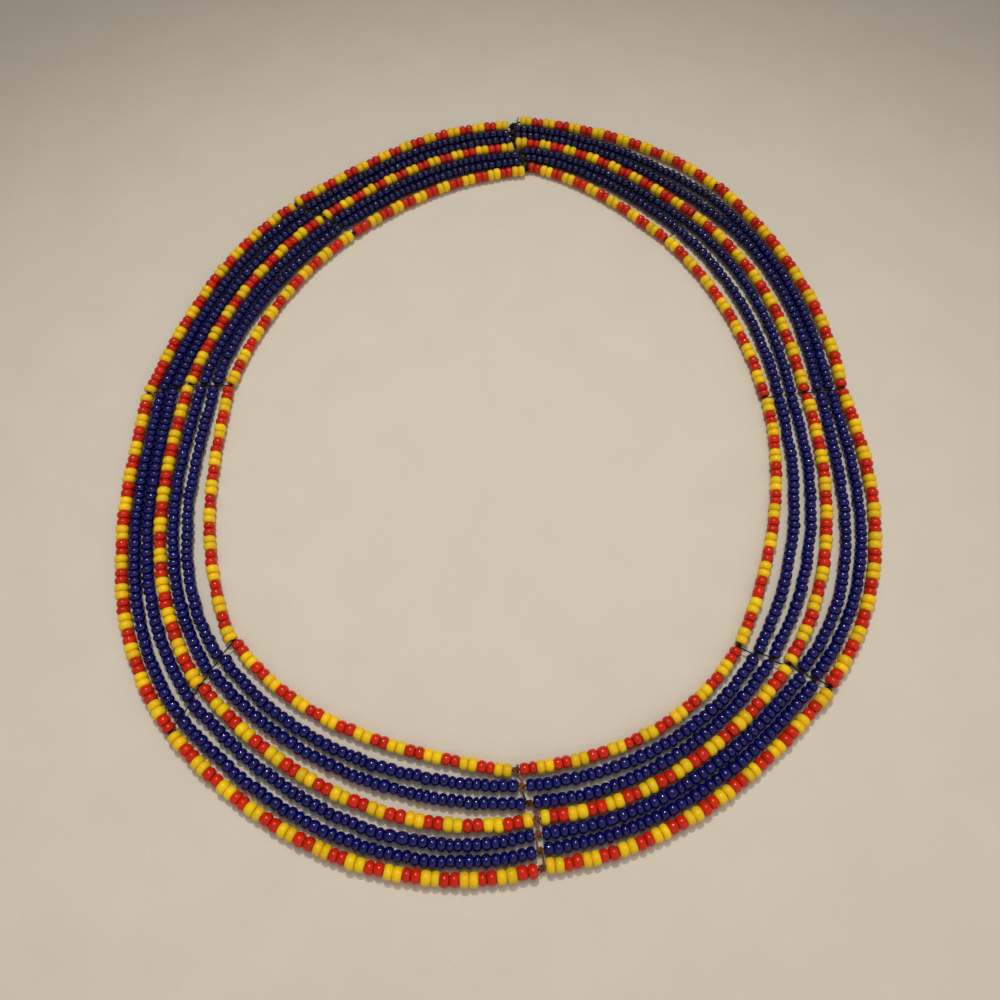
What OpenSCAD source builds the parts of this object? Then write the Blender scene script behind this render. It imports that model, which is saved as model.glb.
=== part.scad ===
// Beaded neck collar, lying flat.
// Seven closed strands of beads lie side by side in one ring. The first, the
// fourth and the seventh are red and yellow, the others are blue. Eight thread
// dividers cross the ring and tie each strand to the next. Each divider winds
// once round every string, where a short length of it is bare of beads.
// The wearer's front is -Y and the join at the nape is +Y. Angles are counted
// from the front towards +X, about the pole, a point inside the neck opening.

/* [Strands] */
// Diameter of a red and yellow strand, flat side to flat side
warm_d = 3.0; // [2.8:0.05:3.0]
// Diameter of a blue strand, flat side to flat side
blue_d = 2.6; // [2.4:0.05:2.6]
// Size of the ring against the radii that are listed below
ring_scale = 1.0; // [1.0:0.05:1.3]

/* [Strings] */
// Diameter of the doubled string inside the beads
string_d = 0.8; // [0.6:0.1:0.8]
// Length of bare string at a divider
bare_l = 2.4; // [2.4:0.1:2.8]
// Length of bare string at the join at the nape
join_bare_l = 3.0; // [3.0:0.1:3.4]

/* [Dividers] */
// Diameter of the thread that runs from strand to strand
tie_d = 0.5; // [0.4:0.05:0.5]
// Outside diameter of the winding round a string
winding_d = 1.9; // [1.8:0.1:2.0]
// Inside diameter of the winding, clear of the string
winding_hole_d = 1.1; // [1.1:0.05:1.2]
// Length of a winding along the string
winding_l = 1.1; // [0.8:0.1:1.2]
// Diameter of the knots at the join
knot_d = 1.6; // [1.2:0.1:1.7]

/* [Hidden] */

strands = 7;
middle = 3;
stretches = 8;
nape = 4;
sides = 8;
steps = 7;
corner = 1 / cos(180 / sides);
diameters = [warm_d, blue_d, blue_d, warm_d, blue_d, blue_d, warm_d];

// Where each divider crosses, in degrees.
// Columns: outer strand, middle strand, inner strand.
divider_angles = [
    [  4.5,   4.4,   2.0],
    [ 47.6,  46.4,  43.3],
    [ 96.8,  96.7,  96.5],
    [141.5, 141.0, 141.8],
    [177.8, 177.6, 175.3],
    [219.7, 217.3, 214.5],
    [264.5, 261.9, 260.8],
    [316.6, 314.5, 312.5],
];

// The route of the strands, one block for the stretch that follows each
// divider, with a row at its start, at one third, at two thirds and at its end.
// Columns: radius of the outer strand, then the distance from each strand to
// the next one inside it.
routes = [
    [[104.7, 3.3, 3.1, 2.9, 3.3, 3.5, 3.4],
     [103.6, 3.3, 2.8, 2.9, 3.0, 3.4, 3.6],
     [101.3, 2.9, 2.8, 2.9, 3.0, 2.8, 3.6],
     [100.7, 3.5, 3.0, 3.5, 3.5, 3.3, 3.8]],
    [[100.1, 3.6, 3.1, 3.0, 3.5, 3.3, 4.0],
     [ 98.3, 3.3, 3.5, 4.8, 3.9, 4.0, 5.0],
     [ 94.3, 3.6, 3.8, 3.9, 3.8, 4.0, 4.2],
     [ 91.0, 2.9, 3.0, 3.9, 4.1, 3.3, 3.4]],
    [[ 91.3, 3.6, 2.8, 3.8, 3.6, 3.5, 3.9],
     [ 94.7, 3.8, 2.9, 4.5, 3.7, 4.1, 4.5],
     [ 98.7, 3.7, 3.0, 5.0, 3.7, 4.5, 5.1],
     [103.9, 4.9, 4.4, 4.6, 3.3, 4.1, 5.1]],
    [[104.0, 4.6, 4.2, 4.6, 3.6, 3.8, 5.2],
     [106.3, 5.2, 3.9, 3.8, 3.6, 3.5, 5.1],
     [107.3, 4.0, 3.0, 3.3, 3.5, 3.3, 4.6],
     [107.9, 2.9, 3.0, 2.9, 3.0, 2.9, 3.7]],
    [[105.6, 3.0, 2.8, 3.0, 3.1, 2.8, 3.3],
     [102.9, 2.9, 3.3, 3.1, 2.9, 3.0, 3.9],
     [ 98.4, 2.9, 3.0, 2.9, 2.9, 2.8, 3.9],
     [ 96.3, 2.9, 3.1, 3.3, 3.1, 2.8, 4.2]],
    [[ 95.8, 2.9, 2.9, 3.4, 3.0, 2.8, 4.2],
     [ 94.2, 2.9, 3.4, 3.3, 2.9, 3.5, 4.0],
     [ 92.7, 2.9, 3.0, 3.2, 3.0, 3.2, 4.4],
     [ 93.9, 3.4, 2.9, 3.7, 3.4, 3.5, 3.7]],
    [[ 94.2, 3.4, 2.9, 3.7, 3.4, 3.4, 4.0],
     [ 96.0, 3.3, 3.0, 3.5, 3.3, 3.8, 4.9],
     [102.0, 3.4, 3.6, 3.5, 3.3, 3.6, 5.9],
     [106.6, 3.4, 3.7, 3.5, 3.4, 3.5, 4.5]],
    [[106.8, 3.5, 3.8, 3.7, 3.7, 3.7, 4.2],
     [107.8, 3.5, 3.8, 3.9, 4.2, 3.4, 4.6],
     [108.0, 3.3, 3.4, 4.1, 4.9, 3.7, 4.8],
     [105.3, 3.5, 3.3, 2.9, 3.3, 3.6, 3.2]],
];

// Sum of the spacings from the outer strand in to strand s
function inset(row, s) = s == 0 ? 0 : row[s] + inset(row, s - 1);

// Radius of strand s in one row of the table
function row_radius(row, s) = row[0] * ring_scale - inset(row, s);

// The cubic that passes through four evenly spaced values
function through_four(v, t) =
    v[0] * (t - 1/3) * (t - 2/3) * (t - 1) * -9/2
    + v[1] * t * (t - 2/3) * (t - 1) * 27/2
    + v[2] * t * (t - 1/3) * (t - 1) * -27/2
    + v[3] * t * (t - 1/3) * (t - 2/3) * 9/2;

// Angle at which divider k crosses strand s. Divider 8 is the front one again.
function crossing(k, s) =
    let (row = divider_angles[k % stretches], turn = 360 * floor(k / stretches))
    turn + (s < middle
        ? row[0] + (row[1] - row[0]) * s / middle
        : row[1] + (row[2] - row[1]) * (s - middle) / middle);

// Length of bare string at divider k
function bare_at(k) = k == nape ? join_bare_l : bare_l;

// Angle that half of the bare string takes up at divider k on strand s
function half_bare(k, s) =
    bare_at(k % stretches) / 2 / row_radius(routes[k % stretches][0], s) * 180 / PI;

// Angle and radius of strand s, at the share t of stretch k
function stretch_angle(k, s, t) =
    let (a = crossing(k, s) + half_bare(k, s), b = crossing(k + 1, s) - half_bare(k + 1, s))
    a + (b - a) * t;
function stretch_radius(k, s, t) =
    through_four([for (row = routes[k]) row_radius(row, s)], t);

// A point on the middle line of strand s, before the ring is centred
function raw_point(k, s, t) =
    let (a = stretch_angle(k, s, t), r = stretch_radius(k, s, t))
    [r * sin(a), -r * cos(a), diameters[s] / 2];

// Direction of strand s at the share t of stretch k
function heading(k, s, t) =
    let (d = raw_point(k, s, t + 0.01) - raw_point(k, s, t - 0.01)) d / norm(d);

// One ring of corners round a point, standing square to the direction dir,
// with a flat side down
function ring(p, dir, d) = [
    for (j = [0 : sides - 1])
        let (a = (j + 0.5) * 360 / sides, r = d / 2 * corner)
        p + [dir[1] * cos(a), -dir[0] * cos(a), sin(a)] * r
];

// The rings of one stretch: the bare string, the beads from end to end, and
// the bare string again
function stretch_rings(k, s) = [
    for (i = [-1 : steps + 1])
        let (t = min(max(i, 0), steps) / steps, bare = i < 0 || i > steps)
        each ring(raw_point(k, s, t), heading(k, s, t), bare ? string_d : diameters[s])
];

function strand_points(s) = [for (k = [0 : stretches - 1]) each stretch_rings(k, s)];

// Centre of the ring's own box, which the outer strand sets
outline = strand_points(0);
outline_x = [for (p = outline) p[0]];
outline_y = [for (p = outline) p[1]];
centre = [(min(outline_x) + max(outline_x)) / 2, (min(outline_y) + max(outline_y)) / 2, 0];

// Middle of the bare string of strand s at divider k, and its direction
function string_end(k, s) = raw_point((k + stretches - 1) % stretches, s, 1);
function string_start(k, s) = raw_point(k, s, 0);
function string_middle(k, s) = (string_end(k, s) + string_start(k, s)) / 2;
function string_heading(k, s) =
    let (d = string_start(k, s) - string_end(k, s)) d / norm(d);

// A closed strand, swept along its route
module strand(s) {
    points = strand_points(s);
    n = len(points);
    faces = [
        for (i = [0 : sides : n - 1], j = [0 : sides - 1])
            let (a = i + j,
                 b = i + (j + 1) % sides,
                 c = (i + sides + (j + 1) % sides) % n,
                 d = (i + sides + j) % n)
            each [[a, b, c], [a, c, d]]
    ];
    translate(-centre) polyhedron(points = points, faces = faces, convexity = 8);
}

// Carries its children to p and turns their Z axis along dir
module along(p, dir) {
    translate(p)
        rotate([0, acos(dir[2]), atan2(dir[1], dir[0])])
            children();
}

// A short winding of thread round the string of strand s
module winding(k, s) {
    along(string_middle(k, s), string_heading(k, s))
        difference() {
            cylinder(h = winding_l, d = winding_d, center = true, $fn = 48);
            cylinder(h = winding_l + 1, d = winding_hole_d, center = true, $fn = 48);
        }
}

// The thread from the winding of strand s to the winding of the next strand in
module tie(k, s) {
    a = string_middle(k, s);
    b = string_middle(k, s + 1);
    reach = norm(b - a);
    dir = (b - a) / reach;
    seat = (winding_d + winding_hole_d) / 4;
    along(a + dir * seat, dir)
        cylinder(h = reach - 2 * seat, d = tie_d, $fn = 32);
}

// All windings and ties of divider k
module divider(k) {
    translate(-centre)
        union() {
            for (s = [0 : strands - 1]) winding(k, s);
            for (s = [0 : strands - 2]) tie(k, s);
        }
}

// Knots on the ties of the join, between strands s and s + 1
module join_knot(s) {
    translate((string_middle(nape, s) + string_middle(nape, s + 1)) / 2 - centre)
        sphere(d = knot_d, $fn = 48);
}

module outer_strand() { color("gold") strand(0); }
module blue_strand_1() { color("midnightblue") strand(1); }
module blue_strand_2() { color("midnightblue") strand(2); }
module middle_strand() { color("orangered") strand(3); }
module blue_strand_3() { color("midnightblue") strand(4); }
module blue_strand_4() { color("midnightblue") strand(5); }
module inner_strand() { color("gold") strand(6); }

module front_divider() { color("saddlebrown") divider(0); }
module lower_right_divider() { color("black") divider(1); }
module right_divider() { color("black") divider(2); }
module upper_right_divider() { color("black") divider(3); }
module nape_join() {
    color("black")
        union() {
            divider(nape);
            for (s = [0, 4, 5]) join_knot(s);
        }
}
module upper_left_divider() { color("black") divider(5); }
module left_divider() { color("black") divider(6); }
module lower_left_divider() { color("black") divider(7); }

outer_strand();
blue_strand_1();
blue_strand_2();
middle_strand();
blue_strand_3();
blue_strand_4();
inner_strand();
front_divider();
lower_right_divider();
right_divider();
upper_right_divider();
nape_join();
upper_left_divider();
left_divider();
lower_left_divider();
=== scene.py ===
# %% [markdown]
# A flat collar of glass beads
#
# Seven strings of beads lie side by side in one flat ring. So this lesson models a bead once for
# each kind of glass, and then strings copies of it along the seven routes. The imported model is the
# frame that every piece is laid in, and the width of its outer string is printed.

# %% Load the frame
import math

import bmesh
import bpy
import numpy as np
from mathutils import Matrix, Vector


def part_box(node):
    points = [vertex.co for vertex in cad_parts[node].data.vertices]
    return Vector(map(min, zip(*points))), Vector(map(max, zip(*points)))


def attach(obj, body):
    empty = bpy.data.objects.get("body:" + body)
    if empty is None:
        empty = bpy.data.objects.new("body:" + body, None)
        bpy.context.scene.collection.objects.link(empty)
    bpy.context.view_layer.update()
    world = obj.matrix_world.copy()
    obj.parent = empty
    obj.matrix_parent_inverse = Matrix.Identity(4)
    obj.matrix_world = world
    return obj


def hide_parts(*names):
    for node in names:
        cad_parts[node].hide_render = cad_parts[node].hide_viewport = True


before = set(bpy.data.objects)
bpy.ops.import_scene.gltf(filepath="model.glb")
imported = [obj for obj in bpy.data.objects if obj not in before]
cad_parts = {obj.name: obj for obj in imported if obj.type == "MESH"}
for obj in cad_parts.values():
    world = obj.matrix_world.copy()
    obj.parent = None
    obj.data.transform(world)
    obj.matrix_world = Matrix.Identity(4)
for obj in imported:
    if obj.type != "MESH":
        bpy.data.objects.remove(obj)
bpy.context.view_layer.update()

MM = 0.001

# %% [markdown]
# The lie of the collar
#
# The collar is a soft thing that was laid down by hand, so its ring isn't a circle: it is wider
# at the shoulders, and the strings spread at the front and crowd together towards the nape. It
# could be drawn as seven free curves. Here it is described the way the maker would measure it:
# eight thread dividers cross the ring, and between two dividers four rows give the radius of the
# outer string and the spacing to each next string inward. The same numbers stand in the part's
# source, so beads and solids share one place.

# %% Dividers, rows and strings
STRINGS = ["outer", "blue_1", "blue_2", "middle", "blue_3", "blue_4", "inner"]
WARM = (0, 3, 6)

# Angle of each divider at the outer, the middle and the inner string, in degrees from the front.
divider_angles = [
    [4.5, 4.4, 2.0], [47.6, 46.4, 43.3], [96.8, 96.7, 96.5], [141.5, 141.0, 141.8],
    [177.8, 177.6, 175.3], [219.7, 217.3, 214.5], [264.5, 261.9, 260.8], [316.6, 314.5, 312.5],
]

# Four rows for the stretch after each divider: outer radius, then the spacing to each next string.
routes = [
    [[104.7, 3.3, 3.1, 2.9, 3.3, 3.5, 3.4], [103.6, 3.3, 2.8, 2.9, 3.0, 3.4, 3.6],
     [101.3, 2.9, 2.8, 2.9, 3.0, 2.8, 3.6], [100.7, 3.5, 3.0, 3.5, 3.5, 3.3, 3.8]],
    [[100.1, 3.6, 3.1, 3.0, 3.5, 3.3, 4.0], [98.3, 3.3, 3.5, 4.8, 3.9, 4.0, 5.0],
     [94.3, 3.6, 3.8, 3.9, 3.8, 4.0, 4.2], [91.0, 2.9, 3.0, 3.9, 4.1, 3.3, 3.4]],
    [[91.3, 3.6, 2.8, 3.8, 3.6, 3.5, 3.9], [94.7, 3.8, 2.9, 4.5, 3.7, 4.1, 4.5],
     [98.7, 3.7, 3.0, 5.0, 3.7, 4.5, 5.1], [103.9, 4.9, 4.4, 4.6, 3.3, 4.1, 5.1]],
    [[104.0, 4.6, 4.2, 4.6, 3.6, 3.8, 5.2], [106.3, 5.2, 3.9, 3.8, 3.6, 3.5, 5.1],
     [107.3, 4.0, 3.0, 3.3, 3.5, 3.3, 4.6], [107.9, 2.9, 3.0, 2.9, 3.0, 2.9, 3.7]],
    [[105.6, 3.0, 2.8, 3.0, 3.1, 2.8, 3.3], [102.9, 2.9, 3.3, 3.1, 2.9, 3.0, 3.9],
     [98.4, 2.9, 3.0, 2.9, 2.9, 2.8, 3.9], [96.3, 2.9, 3.1, 3.3, 3.1, 2.8, 4.2]],
    [[95.8, 2.9, 2.9, 3.4, 3.0, 2.8, 4.2], [94.2, 2.9, 3.4, 3.3, 2.9, 3.5, 4.0],
     [92.7, 2.9, 3.0, 3.2, 3.0, 3.2, 4.4], [93.9, 3.4, 2.9, 3.7, 3.4, 3.5, 3.7]],
    [[94.2, 3.4, 2.9, 3.7, 3.4, 3.4, 4.0], [96.0, 3.3, 3.0, 3.5, 3.3, 3.8, 4.9],
     [102.0, 3.4, 3.6, 3.5, 3.3, 3.6, 5.9], [106.6, 3.4, 3.7, 3.5, 3.4, 3.5, 4.5]],
    [[106.8, 3.5, 3.8, 3.7, 3.7, 3.7, 4.2], [107.8, 3.5, 3.8, 3.9, 4.2, 3.4, 4.6],
     [108.0, 3.3, 3.4, 4.1, 4.9, 3.7, 4.8], [105.3, 3.5, 3.3, 2.9, 3.3, 3.6, 3.2]],
]
DIVIDERS = ["front", "lower_right", "right", "upper_right", "nape", "upper_left", "left",
            "lower_left"]
NAPE = DIVIDERS.index("nape")
BARE = 2.4  # length of bare string in the solids at a divider, in millimetres
NAPE_BARE = 3.0  # the same at the nape
print(len(routes), "stretches of", len(STRINGS), "strings")

# %% [markdown]
# A point on a string
#
# From one divider to the next a real string hangs in one smooth bend. Straight lines from row to
# row would give it corners. The cubic curve that passes through all four rows bends smoothly, and
# it needs no numbers of its own. Everything later asks it for places: beads, strings and ties.

# %% Find the place of a point


def bare_length(divider):
    """Length of bare string at a divider in the solids, in millimetres."""
    return NAPE_BARE if divider % 8 == NAPE else BARE


def row_radius(row, string):
    """Radius of one string in one row."""
    return row[0] - sum(row[1:string + 1])


def through_four(values, share):
    """Smooth curve through four values that stand at 0, 1/3, 2/3 and 1.

    It is the cubic through the four points. Its weights, 4.5 and 13.5, follow from the thirds.
    """
    a, b, c, d = share, share - 1 / 3, share - 2 / 3, share - 1
    return (values[0] * b * c * d * -4.5 + values[1] * a * c * d * 13.5
            + values[2] * a * b * d * -13.5 + values[3] * a * b * c * 4.5)


def crossing(divider, string):
    """Angle at which a divider crosses a string, in degrees."""
    outer, middle, inner = divider_angles[divider % 8]
    turn = 360 * (divider // 8)
    if string < 3:
        return turn + outer + (middle - outer) * string / 3
    return turn + middle + (inner - middle) * (string - 3) / 3


def half_bare(divider, string):
    """Half of the bare length at a divider, as an angle in degrees."""
    radius = row_radius(routes[divider % 8][0], string)
    return math.degrees(bare_length(divider) / 2 / radius)


def round_pole(stretch, string, share):
    """Place of a point of a stretch about the pole that the angles are counted round."""
    start = crossing(stretch, string) + half_bare(stretch, string)
    stop = crossing(stretch + 1, string) - half_bare(stretch + 1, string)
    angle = math.radians(start + (stop - start) * share)
    radius = through_four([row_radius(row, string) for row in routes[stretch]], share)
    return radius * math.sin(angle), -radius * math.cos(angle)


# The pole is found by laying the outer string's box over the box of its solid.
edge = np.array([round_pole(k, 0, i / 120) for k in range(8) for i in range(121)])
low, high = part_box("outer_strand")
pole = [(low[i] + high[i]) / 2 / MM - (edge[:, i].min() + edge[:, i].max()) / 2 for i in (0, 1)]


def place(stretch, string, share):
    """Place of a point of a stretch in the frame, in millimetres."""
    x, y = round_pole(stretch % 8, string, share)
    return np.array([x + pole[0], y + pole[1]])


print("pole of the angles at", [round(p, 3) for p in pole], "mm")
print("outer string is", round(float(high[0] - low[0]) / MM, 1), "mm wide")

# %% [markdown]
# The camera
#
# The picture was taken from close above the front of the collar, looking down at 67 degrees, so
# the near beads look larger than those at the nape. A long lens from far away would lose that.
# A short lens close by keeps it, at the distance where the ring's near and far sides have the
# sizes they have in the picture.

# %% Place the camera
LOOK_DOWN = 67.0  # degrees below the horizon
LENS = 28.152  # millimetres, on a sensor 36 mm wide
CAMERA_AT = (0.00008, -0.09815, 0.1815)  # metres

camera_data = bpy.data.cameras.new("camera")
camera_data.sensor_width = 36.0
camera_data.lens = LENS
camera_data.clip_start = 0.005
camera_data.clip_end = 20.0
camera = bpy.data.objects.new("camera", camera_data)
camera.location = CAMERA_AT
camera.rotation_euler = (math.radians(90.0 - LOOK_DOWN), 0.0, 0.0)
bpy.context.scene.collection.objects.link(camera)
bpy.context.scene.camera = camera
print("camera at", [round(v, 4) for v in camera.location])

# %% [markdown]
# Glass for a bead
#
# A seed bead starts as a long drawn tube of glass. The tube is chopped into short lengths, and
# the pieces are tumbled hot until their sharp rims melt round. The same steps work in edit mode:
# a short cylinder is the chopped tube, an inset on each end marks the rim of the hole, a bridge
# opens the hole, and rings that are scaled in give the melted shoulders. The three kinds of glass
# differ only in width, length and how far the shoulders have melted.

# %% One bead of each kind
BEAD_SIDES = 12
HOLE = 0.52  # radius of the hole, in millimetres
REACH = 0.06  # how near a vertex has to lie to count as part of a ring, in millimetres
SUNK_RIM = 0.90  # the rim of the hole lies this far out, as a share of half the length


def pick(mesh_object, kind, test):
    """Selects only the vertices, edges or faces of the mesh in edit mode that pass a test."""
    mesh = bmesh.from_edit_mesh(mesh_object.data)
    for part in (mesh.verts, mesh.edges, mesh.faces):
        for one in part:
            one.select = False
    for one in getattr(mesh, kind):
        if test(one):
            one.select_set(True)
    mesh.select_flush_mode()
    bmesh.update_edit_mesh(mesh_object.data)


def ring_at(height, radius):
    """Test for the vertices of a ring at this height, above or below, and this radius."""
    def test(vertex):
        off_axis = math.hypot(vertex.co.x, vertex.co.y)
        return abs(abs(vertex.co.z) - height) < REACH and abs(off_axis - radius) < REACH
    return test


def melt_bead(kind, width, length, end, shoulder, shoulder_at):
    """Cuts a bead from a tube of glass, opens its hole and melts its rims. Sizes in millimetres.

    The flat end, the melted shoulder and the shoulder's height are shares of the outer radius,
    the outer radius and half the length.
    """
    radius = width / 2
    bpy.ops.object.select_all(action="DESELECT")
    bpy.ops.mesh.primitive_cylinder_add(vertices=BEAD_SIDES, radius=radius, depth=length)
    bead = bpy.context.object
    bead.name = kind
    bpy.ops.object.mode_set(mode="EDIT")
    bpy.ops.mesh.select_mode(type="EDGE")
    pick(bead, "edges", lambda e: abs(e.verts[0].co.z - e.verts[1].co.z) > length / 2)
    bpy.ops.mesh.subdivide(number_cuts=1)
    bpy.ops.mesh.select_mode(type="FACE")
    pick(bead, "faces", lambda f: abs(f.normal.z) > 0.9)
    bpy.ops.mesh.inset(thickness=radius * (1 - end))
    bpy.ops.mesh.inset(thickness=radius * end - HOLE)
    bpy.ops.mesh.delete(type="FACE")
    bpy.ops.mesh.select_mode(type="EDGE")
    pick(bead, "edges", lambda e: e.is_boundary)
    bpy.ops.mesh.bridge_edge_loops()
    bpy.ops.mesh.select_mode(type="VERT")
    pick(bead, "verts", ring_at(length / 2, HOLE))
    bpy.ops.transform.resize(value=(1, 1, SUNK_RIM))
    pick(bead, "verts", ring_at(length / 2, radius))
    bpy.ops.transform.resize(value=(shoulder, shoulder, shoulder_at))
    bpy.ops.mesh.select_all(action="SELECT")
    bpy.ops.mesh.normals_make_consistent(inside=False)
    bpy.ops.object.mode_set(mode="OBJECT")
    mesh = bead.data
    corners = np.array([v.co for v in mesh.vertices])
    faces = [list(p.vertices) for p in mesh.polygons]
    sizes = corners.max(0) - corners.min(0)
    bpy.data.objects.remove(bead)
    print(kind, "bead:", len(faces), "faces,", [round(float(s), 2) for s in sizes], "mm")
    return {"corners": corners, "faces": faces, "width": width, "length": length}


# Columns: name, width, length, flat end, shoulder and height of the shoulder.
beads = {
    "Y": melt_bead("yellow", 3.25, 1.95, 0.71, 0.92, 0.66),
    "R": melt_bead("red", 3.11, 2.00, 0.67, 0.90, 0.62),
    "B": melt_bead("blue", 2.91, 1.92, 0.68, 0.90, 0.60),
}

# %% [markdown]
# The colour chart
#
# Red and yellow go on the string in pairs, and now and then the maker miscounted at a divider. A
# formula that alternates pairs would miss those slips. So each stretch between two dividers has
# its own line in a chart, written the way a beader reads a pattern aloud: Y for yellow, R for
# red, L for one red bead that is far too long, and a dot for a bare spot of string. Blue stretches
# need no chart: they take as many beads as fit.
#
# Beads don't stay evenly spread on their string either: in some stretches they have been pushed
# together, so that the ones in the middle lie a millimetre off their even places. Longer and
# shorter beads could be charted to get there. A second table of how far they slid is much shorter.

# %% Charts of the red and yellow strings
charts = {
    0: ["YYRR" * 9 + "YY", "RRYY" * 10 + "R", "R" + "YYRR" * 9, "YYRR" * 8 + "YY",
        "YYRR" * 9 + "Y", "Y" + "RRYY" * 8 + "RRRRY", "Y" + "RRYY" * 11 + "RR", "YYRR" * 11],
    3: ["Y" + "RRYY" * 5 + "R.RYY" + "RRYY" + "RRY", "Y" + "RRYY" * 9 + "R",
        "R" + "YYRR" * 7 + "YY", "RRYY" * 8, "YYRR" * 8 + "Y", "Y" + "RRYY" * 7 + "RRY",
        "Y" + "RRYY" * 10, "RRYY" * 9 + "RRY"],
    6: ["RRYY" * 7 + "RR", "YYRRYYLR" + "YYRR" * 6 + "YY", "RRYY" * 7, "RRYY" * 6 + "RR", "YYRR" * 7,
        "YYRR" * 7 + "YY", "RRYY" * 9, "RRYY" * 9],
}
# How far the beads have slid along each stretch, in millimetres at one, two and three quarters.
slid = {
    0: [[-0.4, 0.0, -0.2], [0.8, 1.7, 1.2], [0.9, 1.0, 0.8], [-0.7, -0.5, 0.3],
        [0.1, 0.0, 0.2], [-0.2, -0.3, -0.5], [0.4, 0.8, 0.3], [-0.7, -0.9, -0.7]],
    3: [[-0.3, -0.4, 0.1], [0.7, 1.0, 0.6], [0.7, 0.6, 0.3], [0.3, 0.5, 0.3],
        [0.3, -0.4, -0.8], [0.0, 0.0, -0.3], [-0.4, 0.2, -0.4], [0.0, 0.3, -0.1]],
    6: [[-0.2, 0.0, 0.0], [1.2, 1.1, 0.6], [0.1, 0.1, 0.5], [-0.5, -0.5, 0.1],
        [-0.3, -0.2, -0.4], [0.2, 0.7, 1.0], [0.4, 0.2, -0.4], [-0.1, -0.4, 0.0]],
}
LONG_BEAD = 1.6  # times the usual length
BLUE_PITCH = 1.92  # millimetres of string for each blue bead
BARE_SPOT = 0.25  # millimetres
charted = {STRINGS[s]: sum(len(c.replace(".", "")) for c in charts[s]) for s in charts}
print("charted beads", charted)

# %% [markdown]
# Stringing
#
# Beads of one colour are never the same size, they sit a little askew, and each one rests on the
# table by its own lowest point. Copies from an array modifier would all be twins. Here every
# copy gets its own width and length from a seeded generator, and the lengths of a stretch are then
# scaled together so that they just fill it.

# %% Lay out every bead
chance = np.random.default_rng(20)
# Gap that the beads leave at each divider. The beads are pushed closer than their solids.
seen_gaps = [1.7, 1.2, 0.85, 0.6, 1.6, 1.1, 0.9, 0.65]
# At the nape: how far past its solid each string goes, from the right and from the left.
nape_reach = [[-0.2, -0.5], [1.9, -0.2], [1.6, 0.3], [1.3, 1.1], [0.2, 1.9], [0.6, 0.8], [0.7, 1.3]]
# Scatter of the width and of the length as shares of them, scatter of the place to the side in
# millimetres, and share of the beads that are overlong.
spread = {
    "Y": (0.025, 0.05, 0.05, 0.00),
    "R": (0.035, 0.08, 0.06, 0.01),
    "B": (0.035, 0.10, 0.09, 0.03),
}
WIDER = [1.01, 1.0, 1.0, 0.98, 1.0, 1.0, 0.94]  # the outer string took the widest beads
OVERLONG = 1.35  # times the usual length
MOST_WIDTH = 0.07  # no bead is further from the usual width, as a share of it
MOST_ASIDE = 0.2  # no bead lies further to the side, in millimetres
OVERRUN = 0.06  # share of a stretch by which its line goes on past both ends
LINE_POINTS = 225


def stretch_line(stretch, string):
    """Points of a stretch and their distance along it, a little past both ends."""
    shares = np.linspace(-OVERRUN, 1 + OVERRUN, LINE_POINTS)
    points = np.array([place(stretch, string, t) for t in shares])
    steps = np.hypot(*np.diff(points, axis=0).T)
    along = np.concatenate([[0], np.cumsum(steps)])
    return points, along - np.interp(0.0, shares, along), shares


def at_distance(line, distance):
    """Point of a stretch line at a distance from its start."""
    points, along, _ = line
    return np.array([np.interp(distance, along, points[:, i]) for i in (0, 1)])


laid = []
for string in range(7):
    for stretch in range(8):
        line = stretch_line(stretch, string)
        length = float(np.interp(1.0, line[2], line[1]))
        spare = [(bare_length(stretch + i) - seen_gaps[(stretch + i) % 8]) / 2 for i in (0, 1)]
        if stretch == NAPE - 1:
            spare[1] = nape_reach[string][0]
        if stretch == NAPE:
            spare[0] = nape_reach[string][1]
        room = length + spare[0] + spare[1]
        if string in charts:
            chart = charts[string][stretch]
        else:
            chart = "B" * round(room / BLUE_PITCH)
        sizes = []
        for kind in chart:
            if kind == ".":
                sizes.append((0.0, BARE_SPOT))
                continue
            factor = LONG_BEAD if kind == "L" else 1.0
            kind = "R" if kind == "L" else kind
            wide, long, _, overlong = spread[kind]
            one = beads[kind]["length"] * (1 + chance.normal(0, long)) * factor
            if chance.random() < overlong:
                one *= OVERLONG
            across = beads[kind]["width"] * WIDER[string]
            varied = np.clip(chance.normal(0, wide), -MOST_WIDTH, MOST_WIDTH)
            sizes.append((across * (1 + varied), one))
        stretch_scale = room / sum(s[1] for s in sizes)
        distance = -spare[0]
        slides = [0, *(slid[string][stretch] if string in slid else [0, 0, 0]), 0]
        quarters = [0, length / 4, length / 2, length * 3 / 4, length]
        for kind, (width, one) in zip(chart.replace("L", "R"), sizes):
            one *= stretch_scale
            if kind != ".":
                start, stop = [d + np.interp(d, quarters, slides) for d in (distance, distance + one)]
                middle = at_distance(line, (start + stop) / 2)
                ahead = at_distance(line, stop) - at_distance(line, start)
                ahead /= np.hypot(*ahead)
                aside = np.array([-ahead[1], ahead[0]])
                off = np.clip(chance.normal(0, spread[kind][2]), -MOST_ASIDE, MOST_ASIDE)
                middle = middle + aside * off
                laid.append({"string": string, "kind": kind, "middle": middle, "ahead": ahead,
                             "width": width, "length": stop - start})
            distance += one
print(len(laid), "beads laid out")

# %% [markdown]
# Room for every bead
#
# Towards the nape the strings lie so close that their beads push each other aside. Beads laid on
# their lines would run into each other there. The physics engine could shake them apart, but it
# would also move the beads that are right. So the neighbours are compared in pairs, and the ones
# that are too close are eased apart a little at a time, one inward and the other outward.

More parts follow.
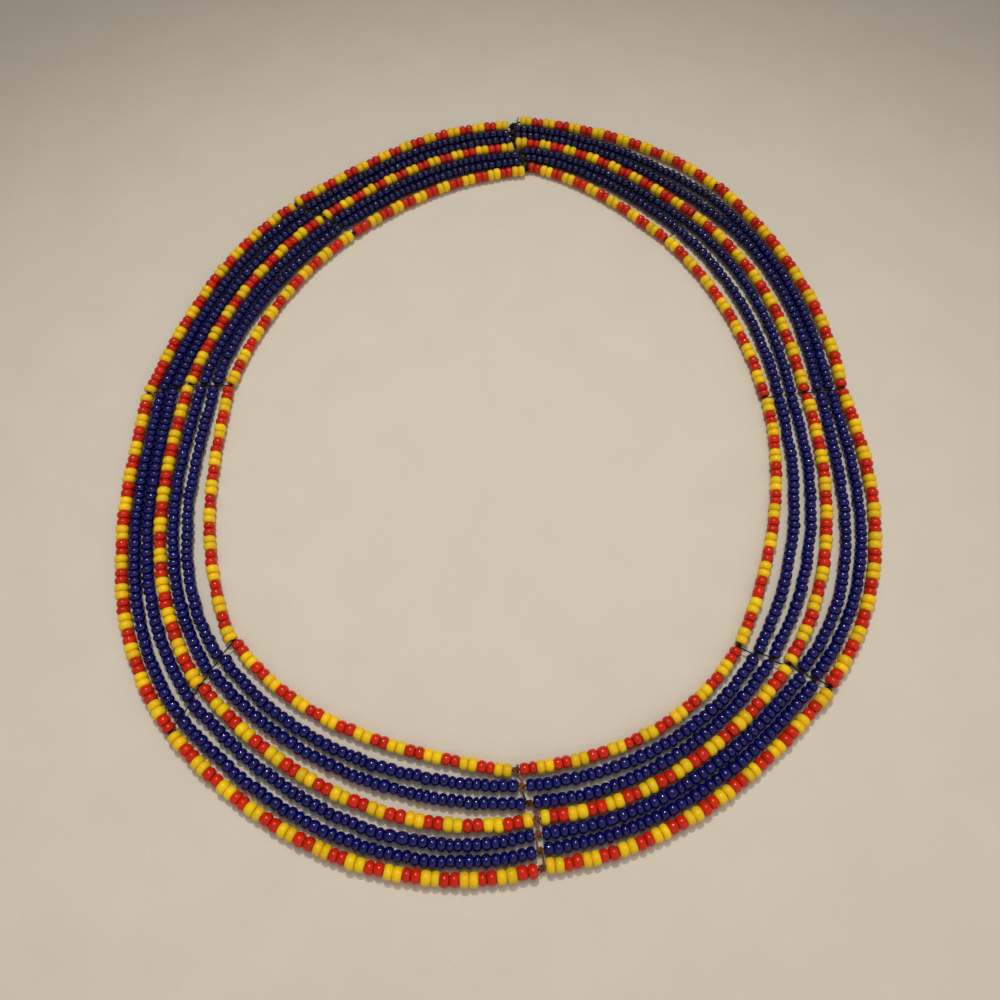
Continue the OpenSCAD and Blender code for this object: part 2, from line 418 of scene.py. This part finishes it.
# %% Ease crowded beads apart
EASE_ROUNDS = 6
BESIDE = 0.15  # beads that share less than this of their lengths aren't neighbours
CLEARANCE = 0.01  # millimetres
MOST_PUSH = 0.25  # millimetres in one round
PUSH_SHARE = 0.7  # a bit less than the whole way, so that the rounds settle

middles = np.array([b["middle"] for b in laid])
aheads = np.array([b["ahead"] for b in laid])
widths = np.array([b["width"] for b in laid])
lengths = np.array([b["length"] for b in laid])
of_string = np.array([b["string"] for b in laid])
for _ in range(EASE_ROUNDS):
    shift = np.zeros_like(middles)
    worst = 0.0
    for string in range(6):
        near = np.where(of_string == string)[0]
        far = np.where(of_string == string + 1)[0]
        gap = middles[near][:, None] - middles[far][None]
        along = np.abs((gap * aheads[near][:, None]).sum(2))
        apart = np.hypot(gap[..., 0], gap[..., 1])
        reach = (lengths[near][:, None] + lengths[far][None]) / 2
        side_by_side = np.clip(1 - along / reach, 0, None) > BESIDE
        need = (widths[near][:, None] + widths[far][None]) / 2 + CLEARANCE
        short = np.where(side_by_side, need - np.sqrt(np.clip(apart**2 - along**2, 0, None)), 0)
        short = np.clip(short, 0, MOST_PUSH)
        worst = max(worst, float(short.max()))
        outward = middles / np.hypot(*middles.T)[:, None]
        shift[near] += outward[near] * short.max(1)[:, None] / 2
        shift[far] -= outward[far] * short.max(0)[:, None] / 2
    middles += shift * PUSH_SHARE
print("deepest crowding left", round(worst, 3), "mm")

# %% [markdown]
# No two beads alike
#
# Each real bead is cut a little slanting, hangs a little crooked and has its own shade. The blue ones
# near the nape also get painted shade, darker towards the nape, for the dimmer reflection they show
# there. A noise texture could vary the colour, but it would run across from bead to bead. Here each
# bead draws its own faults and its own shade once.

# %% Lay and shade one bead
def srgb(red, green, blue):
    """A colour as it is seen on screen, 0 to 255, as the linear colour that Blender wants."""
    parts = [v / 255 for v in (red, green, blue)]
    linear = [p / 12.92 if p <= 0.04045 else ((p + 0.055) / 1.055) ** 2.4 for p in parts]
    return (*linear, 1.0)


SHADES = {"Y": srgb(238, 194, 0), "R": srgb(200, 33, 0), "B": srgb(5, 7, 86)}
SHADE_SPREAD = 0.07  # scatter of the brightness from bead to bead
MOST_SHADE = 0.16  # no bead is further from the usual brightness
GREEN_SPREAD = 0.04  # scatter of the green part alone, which shifts the hue a little
NAPE_PAINTED_SHADE = 0.55  # painted shade: the blue beads darken towards the nape, for their dimmer reflection there
DARKER_FROM = 10  # millimetres towards the nape, where they begin to darken
DARKER_OVER = 70  # millimetres until they are at their darkest
SATIN = {"Y": 0.40, "R": 0.18, "B": 0.14}  # roughness of the glass
SATIN_SPREAD = 0.12
BEAD_GAP = 0.03  # millimetres between two beads
WEDGE = 0.02  # scatter of the slant of the ends
ASKEW = 1.6  # scatter of the tilt, in degrees
TUBE_REACH = 50  # each bead is cut this far or less from the middle of its tube, in millimetres


def lay_bead(index):
    """Corners of one bead where it lies, and the same corners inside the glass it was cut from."""
    bead = laid[index]
    pattern = beads[bead["kind"]]
    local = pattern["corners"].copy()
    local[:, :2] *= bead["width"] / pattern["width"]
    local[:, 2] *= (bead["length"] - BEAD_GAP) / pattern["length"]
    inside = local + chance.uniform(-TUBE_REACH, TUBE_REACH, 3)
    turn = chance.uniform(0, math.tau)
    spun = local @ np.array([[math.cos(turn), math.sin(turn), 0],
                             [-math.sin(turn), math.cos(turn), 0], [0, 0, 1]])
    wedge = chance.normal(0, WEDGE, 2)
    spun[:, 2] *= 1 + spun[:, 0] * wedge[0] + spun[:, 1] * wedge[1]
    yaw, pitch = chance.normal(0, math.radians(ASKEW), 2)
    ahead = np.array([*bead["ahead"], 0.0])
    ahead = ahead + np.array([-ahead[1], ahead[0], 0]) * yaw + np.array([0, 0, pitch])
    ahead /= np.linalg.norm(ahead)
    aside = np.cross([0, 0, 1], ahead)
    aside /= np.linalg.norm(aside)
    up = np.cross(ahead, aside)
    placed = spun @ np.array([aside, up, ahead])
    placed[:, :2] += middles[index]
    placed[:, 2] -= placed[:, 2].min()
    return placed, inside


def bead_shade(index):
    """Colour of one bead, with painted shade on the blue ones towards the nape."""
    kind = laid[index]["kind"]
    tone_and_painted_shade = 1 + np.clip(chance.normal(0, SHADE_SPREAD), -MOST_SHADE, MOST_SHADE)
    if kind == "B":
        # Painted shade: the blue beads darken towards the nape, standing in for the dimmer reflection
        # there.
        tone_and_painted_shade *= 1 - NAPE_PAINTED_SHADE * np.clip((middles[index][1] - DARKER_FROM) / DARKER_OVER, 0, 1)
    greener = 1 + chance.normal(0, GREEN_SPREAD)
    return np.array(SHADES[kind]) * [tone_and_painted_shade, tone_and_painted_shade * greener, tone_and_painted_shade, 1]


print("blue beads darken by up to", NAPE_PAINTED_SHADE, "of their shade")

# %% [markdown]
# From beads to meshes
#
# A strung row is one thing in the hand. Two thousand objects would be slow to handle and dull to
# select, so the beads of one string become one mesh, with their corners worked out as arrays.
# Three attributes go with them: the shade of each bead, how glossy it is, and a place inside its
# own glass, in which the material can draw streaks that follow the tube it was cut from.

# %% Build the bead meshes
def thread_beads(name, chosen):
    """One mesh of all the chosen beads, with their shade, gloss and place in the glass."""
    corners, faces, shades, satin, glass = [], [], [], [], []
    start = 0
    for index in chosen:
        kind = laid[index]["kind"]
        placed, inside = lay_bead(index)
        corners.append(placed)
        glass.append(inside)
        faces.extend([[start + c for c in face] for face in beads[kind]["faces"]])
        start += len(placed)
        shades.append(np.tile(bead_shade(index), (len(placed), 1)))
        satin.append(np.full(len(placed), SATIN[kind] * (1 + chance.normal(0, SATIN_SPREAD))))
    mesh = bpy.data.meshes.new(name)
    mesh.from_pydata(np.concatenate(corners) * MM, [], faces)
    mesh.attributes.new("shade", "FLOAT_COLOR", "POINT").data.foreach_set(
        "color", np.concatenate(shades).astype(np.float32).ravel())
    mesh.attributes.new("satin", "FLOAT", "POINT").data.foreach_set(
        "value", np.concatenate(satin).astype(np.float32))
    mesh.attributes.new("glass", "FLOAT_VECTOR", "POINT").data.foreach_set(
        "vector", np.concatenate(glass).astype(np.float32).ravel())
    mesh.polygons.foreach_set("use_smooth", [True] * len(mesh.polygons))
    piece = bpy.data.objects.new(name, mesh)
    bpy.context.scene.collection.objects.link(piece)
    return piece


nodes_of_string = ["outer_strand", "blue_strand_1", "blue_strand_2", "middle_strand",
                   "blue_strand_3", "blue_strand_4", "inner_strand"]
bead_pieces = []
for string, name in enumerate(STRINGS):
    piece = thread_beads(name + "_beads", np.where(of_string == string)[0])
    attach(piece, "root")
    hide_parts(nodes_of_string[string])
    bead_pieces.append(piece)
    print(piece.name, len(piece.data.polygons), "faces")

# %% [markdown]
# The string inside
#
# Each row of beads runs on a doubled thread. It shows only for a moment at each divider, but it
# is what holds the collar together, so it goes all the way round. It could be a tube as thick as
# the hole. Two thin threads lying side by side are closer to the real one, and a curve with a
# round bevel, turned into a mesh, makes both at once.

# %% Lay the doubled strings
STRING_HEIGHT = [1.5 if s in WARM else 1.33 for s in range(7)]  # above the table, millimetres
THREAD_RADIUS = 0.13
STRING_STEPS = 24  # points along each stretch


def tube(name, lines, radius, closed=False):
    """A mesh of round threads along lines of points, in millimetres."""
    data = bpy.data.curves.new(name, "CURVE")
    data.dimensions = "3D"
    data.bevel_depth = radius * MM
    data.bevel_resolution = 1
    data.use_fill_caps = not closed
    for line in lines:
        spline = data.splines.new("POLY")
        spline.points.add(len(line) - 1)
        spline.points.foreach_set("co", np.c_[np.array(line) * MM, np.ones(len(line))].ravel())
        spline.use_cyclic_u = closed
        spline.use_smooth = True
    piece = bpy.data.objects.new(name, data)
    bpy.context.scene.collection.objects.link(piece)
    bpy.ops.object.select_all(action="DESELECT")
    piece.select_set(True)
    bpy.context.view_layer.objects.active = piece
    bpy.ops.object.convert(target="MESH")
    return bpy.context.object


string_pieces = []
for string, name in enumerate(STRINGS):
    centre = np.array([place(k, string, i / STRING_STEPS)
                       for k in range(8) for i in range(STRING_STEPS + 1)])
    ahead = np.roll(centre, -1, 0) - np.roll(centre, 1, 0)
    ahead /= np.hypot(*ahead.T)[:, None]
    aside = np.c_[-ahead[:, 1], ahead[:, 0]] * THREAD_RADIUS
    height = np.full(len(centre), STRING_HEIGHT[string])
    piece = tube(name + "_string", [np.c_[centre + aside, height], np.c_[centre - aside, height]],
                 THREAD_RADIUS, closed=True)
    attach(piece, "root")
    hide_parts(nodes_of_string[string])
    string_pieces.append(piece)
print("strings laid", len(string_pieces))

# %% [markdown]
# The dividers
#
# A second thread crosses the ring at eight places. It goes over a string, takes a turn or two
# round it in the gap between the beads, and runs on to the next. The front one is thicker and
# reddish brown, the others are black. A straight rod would look like wire. The thread is two plies
# twisted round each other, so its way is worked out first, and then two thin tubes are wound along
# it like the stripes of a barber's pole.

# %% Wind the tie threads
UP = np.array([0.0, 0.0, 1.0])
TIE_RADIUS = 0.19  # millimetres, as all sizes of the threads
FRONT_TIE_RADIUS = 0.25
BUNDLE = 0.25  # radius of the doubled string that the ties go round
WIDE_GAP = 1.0  # a gap wider than this takes two turns
TURN_STEPS = 16
INNER_TAIL = 1.0
OUTER_TAIL = 0.7
PLY = 0.55  # radius of a ply, as a share of the thread's
LAY = 4.5  # length of one twist of the plies, in radii of the thread
LAY_STEPS = 8


def gap_frame(divider, string):
    """Middle of the bare string at a divider, with the directions along and across it."""
    before = place(divider - 1, string, 1.0)
    after = place(divider, string, 0.0)
    ahead = np.array([*(after - before), 0.0])
    ahead /= np.linalg.norm(ahead)
    middle = np.array([*(before + after) / 2, STRING_HEIGHT[string]])
    return middle, ahead, np.cross(ahead, UP)


def tie_way(divider, turns, radius):
    """The way of a tie thread from the inner to the outer string, round each of them."""
    way = []
    round_radius = BUNDLE + radius
    for string in range(6, -1, -1):
        middle, ahead, outward = gap_frame(divider, string)
        lean = 1 if chance.random() < 0.5 else -1
        for i in range(turns * TURN_STEPS + 1):
            angle = math.pi / 2 - math.tau * i / TURN_STEPS
            advance = (i / TURN_STEPS - turns / 2) * 2 * radius * lean
            way.append(middle + ahead * advance
                       + (outward * math.cos(angle) + UP * math.sin(angle)) * round_radius)
    first = gap_frame(divider, 6)
    last = gap_frame(divider, 0)
    way.insert(0, way[0] - first[2] * INNER_TAIL)
    way.append(way[-1] + last[2] * OUTER_TAIL)
    return np.array(way)


def even_steps(way, step):
    """The same way with points at even steps."""
    lengths = np.concatenate([[0], np.cumsum(np.linalg.norm(np.diff(way, axis=0), axis=1))])
    count = max(2, int(lengths[-1] / step))
    at = np.linspace(0, lengths[-1], count)
    return np.array([np.interp(at, lengths, way[:, i]) for i in range(3)]).T


def two_ply(way, radius, lay):
    """Two plies that twist round a way, with one full turn every lay millimetres."""
    way = even_steps(way, lay / LAY_STEPS)
    ahead = np.gradient(way, axis=0)
    ahead /= np.linalg.norm(ahead, axis=1)[:, None]
    across = np.cross(ahead[0], [0.3, 0.2, 1.0])
    plies = [[], []]
    for i, (point, direction) in enumerate(zip(way, ahead)):
        across = across - direction * across.dot(direction)
        across /= np.linalg.norm(across)
        other = np.cross(direction, across)
        turn = math.tau * i / LAY_STEPS
        off = (across * math.cos(turn) + other * math.sin(turn)) * radius * 0.5
        plies[0].append(point + off)
        plies[1].append(point - off)
    return plies


tie_pieces = []
for divider, name in enumerate(DIVIDERS):
    radius = FRONT_TIE_RADIUS if name == "front" else TIE_RADIUS
    turns = 2 if seen_gaps[divider] > WIDE_GAP else 1
    plies = two_ply(tie_way(divider, turns, radius), radius, radius * LAY)
    piece = tube(name + "_tie", plies, radius * PLY)
    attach(piece, "root")
    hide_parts("nape_join" if divider == NAPE else name + "_divider")
    tie_pieces.append(piece)
    print(piece.name, len(piece.data.polygons), "faces")

# %% [markdown]
# The join at the nape
#
# The work was begun and finished at the nape. The strings are whipped with black thread there, the
# beads are pushed up against the whipping, and the last end is tied off in a round knot on the
# outer string. A sculpted lump would do from far away. The same thread wound over a ball gives the
# knot its turns.

# %% Whip the strings and tie the knots
NAPE_THREAD = 0.16  # radius, in millimetres as all sizes here
WHIP_PITCH = 0.17  # half the distance from one turn to the next
WHIP_STEP = 0.12
LEAST_WHIP = 0.35  # half of the shortest whipping
WHIP_TURN_STEPS = 12
KNOT_TURN_STEPS = 14
UNEVEN = 0.12  # share by which the turns stand out more or less


def nape_gap(string):
    """Middle and half length of what the beads leave bare on a string at the nape."""
    middle, ahead, _ = gap_frame(NAPE, string)
    right, left = nape_reach[string]
    half = (NAPE_BARE - left - right) / 2
    return middle + ahead * (right - left) / 2, ahead, half


def whipping(string, radius):
    """Thread wound close along the bare string at the nape, out and back again."""
    middle, ahead, half = nape_gap(string)
    aside = np.cross(ahead, UP)
    half = max(half, LEAST_WHIP)
    turns = max(2, round(half / radius))
    way = []
    for layer in (0, 1):
        for i in range(turns * WHIP_TURN_STEPS + 1):
            share = i / (turns * WHIP_TURN_STEPS)
            advance = (2 * share - 1) * half * (1 - 2 * layer) * (1 - 0.25 * layer)
            angle = math.tau * turns * share
            swell = 1 + UNEVEN * math.sin(angle * 0.37 + string)
            off = BUNDLE + radius * (1 + 1.5 * layer) * swell
            way.append(middle + ahead * advance
                       + (aside * math.cos(angle) + UP * math.sin(angle)) * off)
    return way


def ball_knot(centre, size, turns, tilt):
    """A round knot: thread wound over a ball, first one way and then across."""
    way = []
    for layer, axis in enumerate(tilt):
        axis = np.array(axis) / np.linalg.norm(axis)
        one = np.cross(axis, [0.31, 0.22, 0.92])
        one /= np.linalg.norm(one)
        two = np.cross(axis, one)
        for i in range(turns * KNOT_TURN_STEPS + 1):
            share = i / (turns * KNOT_TURN_STEPS)
            lift = math.pi * (0.12 + 0.76 * share)
            angle = math.tau * turns * share
            reach = size * (1 - 0.12 * layer)
            way.append(np.array(centre) + axis * math.cos(lift) * reach
                       + (one * math.cos(angle) + two * math.sin(angle)) * math.sin(lift) * reach)
    return way


lines = []
for string in range(1, 7):
    lines.append(even_steps(np.array(whipping(string, WHIP_PITCH)), WHIP_STEP))
middle, ahead, half = nape_gap(0)
# Columns: middle of the knot, its radius, turns of each layer, and the axis of each layer.
knots = [
    (middle + ahead * (half - 1.0) + [0.0, 0.0, -0.25], 0.78, 5,
     [(0.2, 1.0, 0.3), (1.0, -0.3, 0.4), (0.1, 0.2, 1.0)]),
    (nape_gap(4)[0] + [0.3, 0.0, 0.1], 0.62, 4, [(0.3, 1.0, 0.1), (1.0, 0.2, 0.3)]),
    (nape_gap(6)[0] + [0.1, 0.9, 0.0], 0.55, 4, [(0.1, 1.0, 0.4), (1.0, 0.1, 0.2)]),
]
for knot in knots:
    lines.append(ball_knot(*knot))
piece = tube("nape_whipping", lines, NAPE_THREAD)
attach(piece, "root")
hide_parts("nape_join")
tie_pieces.append(piece)
print("whipped strings", len(lines) - len(knots), "knots", len(knots))

# %% [markdown]
# Loose ends
#
# Every thread that was tied off leaves a short end. Hair curves could make them, but a few tubes
# are enough, and they come out as plain geometry. Three stand up beside the beads at the end of
# the outer string, and the others curl out of the whipping.

# %% Leave the loose ends
END_RADIUS = 0.09
END_HEIGHT = 0.55  # above the middle of the string


def loose_end(start, aim, length, curl, steps=9):
    """A short end of thread that leaves a knot and curls."""
    aim = np.array(aim) / np.linalg.norm(aim)
    bend = np.cross(aim, UP)
    way = []
    for i in range(steps):
        share = i / (steps - 1)
        way.append(np.array(start) + aim * length * share + bend * curl * share ** 2
                   + UP * curl * 0.3 * math.sin(share * 3.0))
    return way


cut_at = middle - ahead * (half - 0.4)
ends = [loose_end(cut_at + [0.0, -0.3, 0.3], (0.05, 1.0, 0.45), 1.9, 0.15),
        loose_end(cut_at + [-0.1, -0.3, 0.2], (-0.12, 1.0, 0.6), 1.5, -0.12),
        loose_end(cut_at + [-0.2, -0.4, 0.2], (-0.3, 1.0, 0.4), 1.1, -0.2)]
# Columns: string, direction, length and curl.
curled = [
    (4, (1.0, -0.5, 0.2), 1.4, 0.5), (5, (0.6, -1.0, 0.3), 1.5, 0.4),
    (5, (-0.5, -0.8, 0.3), 1.2, -0.4), (6, (0.4, 1.0, 0.3), 1.4, 0.5),
    (1, (0.3, -1.0, 0.4), 1.3, 0.2), (3, (-0.2, 1.0, 0.4), 1.2, 0.3),
]
for string, aim, length, curl in curled:
    ends.append(loose_end(nape_gap(string)[0] + [0, 0, END_HEIGHT], aim, length, curl))
end_piece = tube("nape_ends", ends, END_RADIUS)
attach(end_piece, "root")
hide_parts("nape_join")
print("loose ends", len(ends))

# %% [markdown]
# Tumbled glass
#
# Opaque glass is one colour all through, but up close it has faint streaks along the tube, tiny
# pits, and a skin that is duller in some places. Painted pictures could carry that, yet two
# thousand beads would all need their own place in them. Noise inside each bead's own glass does
# it without pictures. Both bead materials share it as one group that puts out a colour, a
# roughness and a height.

# %% Shared glass group
def new_group(name, inputs, outputs):
    """A shader node group with named sockets, and its input and output nodes."""
    group = bpy.data.node_groups.new(name, "ShaderNodeTree")
    for socket, kind in inputs:
        group.interface.new_socket(name=socket, in_out="INPUT", socket_type="NodeSocket" + kind)
    for socket, kind in outputs:
        group.interface.new_socket(name=socket, in_out="OUTPUT", socket_type="NodeSocket" + kind)
    return group, group.nodes.new("NodeGroupInput"), group.nodes.new("NodeGroupOutput")


def add(tree, kind, settings=(), **inputs):
    """A node with its settings and with values or links on its inputs."""
    node = tree.nodes.new("ShaderNode" + kind)
    for key, value in dict(settings).items():
        setattr(node, key, value)
    for key, value in inputs.items():
        socket = node.inputs[int(key[1:])] if key[0] == "_" and key[1:].isdigit() \
            else node.inputs[key.replace("_", " ")]
        if isinstance(value, bpy.types.NodeSocket):
            tree.links.new(value, socket)
        else:
            socket.default_value = value
    return node


glass_group, given, result = new_group(
    "tumbled_glass",
    [("Shade", "Color"), ("Satin", "Float"), ("Place", "Vector"), ("Streaks", "Float")],
    [("Color", "Color"), ("Roughness", "Float"), ("Height", "Float")])
t = glass_group
stretched = add(t, "Mapping", {"vector_type": "POINT"}, Vector=given.outputs["Place"],
                Scale=(3.0, 3.0, 0.25))
streak = add(t, "TexNoise", Vector=stretched.outputs["Vector"], Scale=1.6, Detail=3.0)
pits = add(t, "TexNoise", Vector=given.outputs["Place"], Scale=6.0, Detail=2.0)
lift = add(t, "MapRange", Value=streak.outputs["Fac"], From_Min=0.3, From_Max=0.7,
           To_Min=-1.0, To_Max=1.0)
amount = add(t, "Math", {"operation": "MULTIPLY"}, _0=lift.outputs["Result"],
             _1=given.outputs["Streaks"])
value = add(t, "Math", {"operation": "ADD"}, _0=amount.outputs["Value"], _1=1.0)
color = add(t, "HueSaturation", Value=value.outputs["Value"], Color=given.outputs["Shade"])
rough = add(t, "MapRange", Value=pits.outputs["Fac"], From_Min=0.3, From_Max=0.75,
            To_Min=0.8, To_Max=1.35)
rough = add(t, "Math", {"operation": "MULTIPLY"}, _0=rough.outputs["Result"],
            _1=given.outputs["Satin"])
t.links.new(color.outputs["Color"], result.inputs["Color"])
t.links.new(rough.outputs["Value"], result.inputs["Roughness"])
t.links.new(pits.outputs["Fac"], result.inputs["Height"])
print(glass_group.name, "has", len(glass_group.nodes), "nodes")

# %% [markdown]
# Red, yellow and blue glass
#
# The red and yellow beads are a satin glass, and the blue ones shine more and show more streaks.
# One material for each colour would do as well. Since the mesh already carries the shade and the
# gloss of every bead, two materials are enough, and the shader itself stays in each of them.

# %% Bead materials
GLASS_IOR = 1.52
PIT_DEPTH = 0.00005  # metres


def bead_material(name, streaks, dent, shine):
    """A glass bead material that reads the shade, gloss and place of each bead."""
    material = bpy.data.materials.new(name)
    material.use_nodes = True
    tree = material.node_tree
    shader = tree.nodes["Principled BSDF"]
    shade = add(tree, "Attribute", {"attribute_name": "shade"})
    satin = add(tree, "Attribute", {"attribute_name": "satin"})
    glass = add(tree, "Attribute", {"attribute_name": "glass"})
    group = tree.nodes.new("ShaderNodeGroup")
    group.node_tree = glass_group
    tree.links.new(shade.outputs["Color"], group.inputs["Shade"])
    tree.links.new(satin.outputs["Fac"], group.inputs["Satin"])
    tree.links.new(glass.outputs["Vector"], group.inputs["Place"])
    group.inputs["Streaks"].default_value = streaks
    bump = add(tree, "Bump", Strength=dent, Distance=PIT_DEPTH, Height=group.outputs["Height"])
    tree.links.new(group.outputs["Color"], shader.inputs["Base Color"])
    tree.links.new(group.outputs["Roughness"], shader.inputs["Roughness"])
    tree.links.new(bump.outputs["Normal"], shader.inputs["Normal"])
    shader.inputs["IOR"].default_value = GLASS_IOR
    shader.inputs["Specular IOR Level"].default_value = shine
    return material


warm_glass = bead_material("red_and_yellow_glass", streaks=0.10, dent=0.25, shine=0.3)
blue_glass = bead_material("blue_glass", streaks=0.22, dent=0.2, shine=0.42)
for string, piece in enumerate(bead_pieces):
    piece.data.materials.append(warm_glass if string in WARM else blue_glass)
print("bead materials", warm_glass.name, "and", blue_glass.name)

# %% [markdown]
# Thread
#
# The threads are spun from short fibres, and handling has left them uneven in colour. Real fibres
# would need thousands of curves that nobody could see at this size. One group gives light and dark
# fibres at a fine scale, and three materials use it, each with two shades of its own.

# %% Thread materials
thread_group, given, result = new_group(
    "spun_thread", [("Dark", "Color"), ("Light", "Color"), ("Place", "Vector")],
    [("Color", "Color"), ("Height", "Float")])
t = thread_group
fibre = add(t, "TexNoise", Vector=given.outputs["Place"], Scale=2600.0, Detail=4.0)
cloud = add(t, "TexNoise", Vector=given.outputs["Place"], Scale=260.0, Detail=2.0)
both = add(t, "Math", {"operation": "MULTIPLY_ADD"}, _0=fibre.outputs["Fac"], _1=0.6,
           _2=cloud.outputs["Fac"])
share = add(t, "MapRange", Value=both.outputs["Value"], From_Min=0.55, From_Max=1.05)
mixed = add(t, "Mix", {"data_type": "RGBA"}, _0=share.outputs["Result"],
            _6=given.outputs["Dark"], _7=given.outputs["Light"])
t.links.new(mixed.outputs[2], result.inputs["Color"])
t.links.new(fibre.outputs["Fac"], result.inputs["Height"])


def thread_material(name, dark, light):
    """A spun thread of two shades."""
    material = bpy.data.materials.new(name)
    material.use_nodes = True
    tree = material.node_tree
    shader = tree.nodes["Principled BSDF"]
    coordinates = add(tree, "TexCoord")
    group = tree.nodes.new("ShaderNodeGroup")
    group.node_tree = thread_group
    group.inputs["Dark"].default_value = dark
    group.inputs["Light"].default_value = light
    tree.links.new(coordinates.outputs["Object"], group.inputs["Place"])
    bump = add(tree, "Bump", Strength=0.5, Distance=0.0001, Height=group.outputs["Height"])
    tree.links.new(group.outputs["Color"], shader.inputs["Base Color"])
    tree.links.new(bump.outputs["Normal"], shader.inputs["Normal"])
    shader.inputs["Roughness"].default_value = 0.8
    shader.inputs["Specular IOR Level"].default_value = 0.2
    return material


brown_thread = thread_material("reddish_brown_thread", srgb(58, 26, 14), srgb(150, 88, 50))
black_thread = thread_material("black_thread", srgb(10, 8, 7), srgb(46, 32, 22))
string_thread = thread_material("dark_string", srgb(22, 16, 13), srgb(84, 64, 46))
for piece in string_pieces:
    piece.data.materials.append(string_thread)
end_piece.data.materials.append(string_thread)
for piece in tie_pieces:
    piece.data.materials.append(brown_thread if piece.name == "front_tie" else black_thread)
print("thread materials", [m.name for m in (brown_thread, black_thread, string_thread)])

# %% [markdown]
# The floor
#
# The collar lies on a pale, slightly mottled surface. A backdrop that curves up would look
# different from every side, so a plain flat floor does here, with a faint nap for the light to
# catch.

# %% Floor
bpy.ops.object.select_all(action="DESELECT")
bpy.ops.mesh.primitive_plane_add(size=3.0, location=(0, 0, 0))
floor = bpy.context.object
floor.name = "floor"
floor_material = bpy.data.materials.new("pale_floor")
floor_material.use_nodes = True
tree = floor_material.node_tree
coordinates = add(tree, "TexCoord")
mottle = add(tree, "TexNoise", Vector=coordinates.outputs["Object"], Scale=60.0, Detail=5.0)
fleece = add(tree, "TexNoise", Vector=coordinates.outputs["Object"], Scale=900.0, Detail=3.0)
tone = add(tree, "Mix", {"data_type": "RGBA"}, _0=mottle.outputs["Fac"],
           _6=srgb(210, 202, 187), _7=srgb(218, 211, 198))
bump = add(tree, "Bump", Strength=0.25, Distance=0.0004, Height=fleece.outputs["Fac"])
shader = tree.nodes["Principled BSDF"]
tree.links.new(tone.outputs[2], shader.inputs["Base Color"])
tree.links.new(bump.outputs["Normal"], shader.inputs["Normal"])
shader.inputs["Roughness"].default_value = 0.95
shader.inputs["Specular IOR Level"].default_value = 0.1
floor.data.materials.append(floor_material)
print("floor", [round(v, 2) for v in floor.dimensions], "m")

# %% [markdown]
# Light and room
#
# A small bulb high behind the nape gives each bead its highlight and a thin dark shadow, and a
# broad soft lamp beside it makes the shadow's edge fade. The room fills the rest: it is bright in
# front and to the right, darker straight overhead and behind, and a little warmer on the left. An
# even grey room would leave a pale sheen on top of the blue beads. The view transform is Standard,
# since the softer default one would wash out the red and the yellow.

# %% Lamps and room
LAMP_AIM = (0.01, -0.15, 0.0)
LAMP_TINT = (1.0, 0.97, 0.92)
BRIGHT_SIDE = (0.25, -0.45, 0.86)  # direction in which the room is brightest

bpy.context.scene.view_settings.view_transform = "Standard"


def lamp(name, place_at, size, energy, cone):
    """A round lamp whose light fades towards the edge of its cone. Metres, watts and degrees."""
    data = bpy.data.lights.new(name, "SPOT")
    data.shadow_soft_size = size / 2
    data.energy = energy
    data.spot_size = math.radians(cone)
    data.spot_blend = 1.0
    data.color = LAMP_TINT
    thing = bpy.data.objects.new(name, data)
    thing.location = place_at
    aim = Vector(LAMP_AIM) - Vector(place_at)
    thing.rotation_euler = aim.to_track_quat("-Z", "Y").to_euler()
    bpy.context.scene.collection.objects.link(thing)


lamp("bulb", (-0.04, 0.30, 0.62), size=0.042, energy=8.5, cone=58)
lamp("soft_lamp", (0.04, 0.20, 0.70), size=0.42, energy=6.1, cone=57)
world = bpy.data.worlds.new("room")
bpy.context.scene.world = world
world.use_nodes = True
sky = world.node_tree
where = add(sky, "TexCoord")
toward = add(sky, "VectorMath", {"operation": "DOT_PRODUCT"}, _0=where.outputs["Generated"],
             _1=BRIGHT_SIDE)
sky_light = add(sky, "MapRange", Value=toward.outputs["Value"], From_Min=-0.2, From_Max=1.0,
                To_Min=0.02, To_Max=0.90)
parts = add(sky, "SeparateXYZ", Vector=where.outputs["Generated"])
overhead = add(sky, "Math", {"operation": "POWER"}, _0=parts.outputs["Z"], _1=3.0)
ceiling = add(sky, "MapRange", Value=overhead.outputs["Value"], To_Min=1.0, To_Max=0.2)
strength = add(sky, "Math", {"operation": "MULTIPLY"}, _0=sky_light.outputs["Result"],
               _1=ceiling.outputs["Result"])
side = add(sky, "MapRange", Value=parts.outputs["X"], From_Min=-0.8, From_Max=0.8)
sky_tint = add(sky, "Mix", {"data_type": "RGBA"}, _0=side.outputs["Result"],
               _6=(1.0, 0.92, 0.80, 1.0), _7=(1.0, 0.97, 0.96, 1.0))
sky.links.new(sky_tint.outputs[2], sky.nodes["Background"].inputs["Color"])
sky.links.new(strength.outputs["Value"], sky.nodes["Background"].inputs["Strength"])
